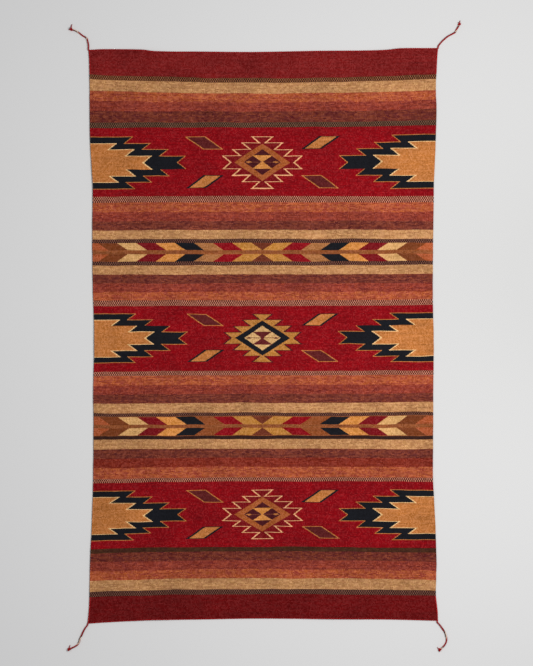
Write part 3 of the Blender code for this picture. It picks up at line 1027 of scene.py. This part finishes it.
def build_corner_cord(corner, materials):
    """Two red strands with a pale and a dark one, which come up out of the cord's middle. The dark one is
    painted shadow of the cord.
    """
    path = cord_path(corner)
    strands = []
    # Degrees from the top, and the number of the strand's material
    for place, kind in ((-45, 0), (45, 0), (135, corner.right_under), (225, 3 - corner.right_under)):

        def angle_at(share, _length, start=math.radians(place)):
            return start + math.tau * read_turns(corner.turns, share)

        def radius_at(share, kind=kind):
            grown = min(1.0, UNDER_START + UNDER_GROWTH * share)
            return STRAND_RADIUS * (1.0 if kind == 0 else grown)

        strands.append(lay_strand(path, STRAND_OFF_CENTRE, angle_at, radius_at, kind))
    cord = join_strands(f"strands_{corner.name}", strands, materials)
    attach(cord, "root")
    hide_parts(f"cord_{corner.name}")
    return cord, path


def knot_path(corner, arrives, height):
    """The centre line of an overhand knot: a trefoil, left a little open."""
    heading = math.atan2(arrives.y, arrives.x)
    long_half = corner.knot_length / 2 - KNOT_TUBE
    wide_half = corner.knot_width / 2 - KNOT_TUBE
    rise = height / 2 - KNOT_TUBE
    path = []
    for step in range(KNOT_STEPS + 1):
        t = math.tau * step / KNOT_STEPS * KNOT_CLOSED
        x = (math.sin(t) + 2 * math.sin(2 * t)) / TREFOIL_REACH * long_half
        y = (math.cos(t) - 2 * math.cos(2 * t)) / TREFOIL_REACH * wide_half
        path.append(
            Vector((
                corner.knot[0] + x * math.cos(heading) - y * math.sin(heading),
                corner.knot[1] + x * math.sin(heading) + y * math.cos(heading),
                height / 2 - math.sin(3 * t) * rise,
            ))
        )
    return path


def lay_fray(corner, tail, outward):
    """Loose fibres that spread from the knot's loose end."""
    chance = random.Random(corner.name)
    strands = []

    def radius_at(share):
        return FIBRE_RADIUS * (1.1 - share)

    for number in range(FRAYED_FIBRES):
        root = tail[-3] + Vector((chance.uniform(-0.6, 0.6), chance.uniform(-0.6, 0.6), 0)) * MM
        reach = chance.uniform(2.5, 5.0) * MM
        aside = outward.cross(Vector((0, 0, 1))) * chance.uniform(-0.7, 0.7)
        tip = root + (outward + aside).normalized() * reach
        tip.z = chance.uniform(0.3, 1.2) * MM
        bend = root.lerp(tip, 0.5) + aside * 0.5 * MM
        fibre = smooth_route([root, bend, tip], 0.8 * MM)
        kind = 1 if number % 4 == 0 else 0
        strands.append(lay_strand(fibre, 0.0, lambda _share, _length: 0.0, radius_at, kind, sides=4))
    return strands


def build_knot(corner, arrives, materials):
    """The cord drawn into a tight overhand knot, with its frayed loose end."""
    height = corner.knot_width * KNOT_HEIGHT
    path = knot_path(corner, arrives, height)
    strands = []
    for ply in range(3):

        def angle_at(_share, length, start=ply * math.tau / 3):
            return start + math.tau * length / KNOT_PLY_TURN

        strands.append(lay_strand(path, KNOT_TUBE * 0.54, angle_at, lambda _share: KNOT_TUBE * 0.5))

    end = Vector((*corner.tail, TAIL_END))
    middle = Vector((*corner.knot, height / 2))
    start = middle.lerp(end, 0.25)
    halfway = start.lerp(end, 0.5)
    halfway.z = TAIL_ARCH
    tail = smooth_route([start, halfway, end], 0.6 * MM)
    for ply, kind in ((0, 0), (1, 0), (2, 1)):

        def tail_angle(share, _length, first=ply * math.tau / 3):
            return first + math.tau * TAIL_TURNS * share

        def tail_radius(share):
            return TAIL_RADIUS * (1.0 - 0.5 * share**2)

        strands.append(lay_strand(tail, TAIL_OFF_CENTRE, tail_angle, tail_radius, kind, sides=6))

    strands += lay_fray(corner, tail, (end - start).normalized())
    knot = join_strands(f"overhand_knot_{corner.name}", strands, materials)
    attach(knot, "root")
    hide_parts(f"knot_{corner.name}")
    return knot


# Picture

def build_camera():
    data = bpy.data.cameras.new("camera above")
    data.lens = CAMERA_LENS
    data.sensor_width = CAMERA_SENSOR
    data.sensor_fit = "AUTO"
    camera = place_object("camera above", data)
    camera.location = CAMERA_PLACE
    bpy.context.scene.camera = camera


def build_floor():
    """Pale matt paper under the blanket, with painted shade that makes its colour darker near the lamp."""
    material, tree, shader = new_material("matt backdrop paper", roughness=0.9, specular=0.1)
    spot = add(tree, "TexCoord").outputs["Object"]
    from_lamp = add(tree, "VectorMath", {0: spot, 1: LAMP_PLACE}, operation="SUBTRACT")
    narrowed = add(tree, "VectorMath", {0: from_lamp, 1: PAPER_SHADE_SPREAD}, operation="MULTIPLY")
    away = add(tree, "VectorMath", {0: narrowed}, operation="LENGTH")
    # Painted shade: the paper's colour darkens towards the lamp
    far = add(tree, "MapRange", {0: away, 1: SHADED_PAPER_NEAR_LAMP[0], 2: UNSHADED_PAPER_FAR[0]})
    colours = {0: far, 6: colour(SHADED_PAPER_NEAR_LAMP[1]), 7: colour(UNSHADED_PAPER_FAR[1])}
    paper = add(tree, "Mix", colours, data_type="RGBA")
    tree.links.new(paper.outputs[2], shader.inputs["Base Color"])
    corners = [(x * FLOOR_REACH, y * FLOOR_REACH, 0) for x, y in ((-1, -1), (1, -1), (1, 1), (-1, 1))]
    floor = make_mesh("backdrop", corners, [(0, 1, 2, 3)], [material])
    floor.location.z = -FLOOR_DROP
    return floor


def build_lights():
    """A soft lamp on the right, a weaker one on the left, and pale light from all round."""
    for name, side, power in LAMPS:
        data = bpy.data.lights.new(name, "AREA")
        data.size = LAMP_SIZE
        data.energy = power
        data.color = LAMP_COLOUR
        lamp = place_object(name, data)
        lamp.location = (side * LAMP_PLACE[0], *LAMP_PLACE[1:])
        lamp.rotation_euler = (-lamp.location).to_track_quat("-Z", "Y").to_euler()
    world = bpy.data.worlds.new("pale room")
    world.use_nodes = True
    background = world.node_tree.nodes["Background"]
    background.inputs["Color"].default_value = (1.0, 1.0, 1.0, 1.0)
    background.inputs["Strength"].default_value = ROOM_LIGHT
    bpy.context.scene.world = world


def main():
    scene = bpy.context.scene
    scene.view_settings.view_transform = "Standard"
    # Each bead of the weave is about one pixel here, and denoising would smear them
    scene.cycles.use_denoising = False
    build_camera()
    # Each strand's deep colour is the painted shade in its spun groove
    red = plied_wool("plied wool, madder red", yarn="a01f26", deep="781419", halo="c04044")
    dark_red = plied_wool("plied wool, deep red", yarn="a81318", deep="820c11", halo="d03030")
    pale = plied_wool("plied wool, undyed cream", yarn="e8cfbc", deep="cfae96", halo="e8d4c4")
    # The dark brown strand is painted shadow: a dark strand where the cord's shadow shows
    dark = plied_wool("plied wool, dark brown", yarn="463835", deep="2c2220", halo="6a5450")

    cords = []
    for corner in CORNERS:
        cord, path = build_corner_cord(corner, [red, pale, dark])
        arrives = Vector(corner.knot).to_3d() - path[-4]
        knot = build_knot(corner, arrives, [dark_red, red])
        cords.append(cord)

    end_cords = [
        build_end_cord("end_cord_top", 1, dark_red),
        build_end_cord("end_cord_bottom", -1, dark_red),
    ]
    floor = build_floor()
    cloth = build_cloth(tapestry_wool())
    build_lights()


main()
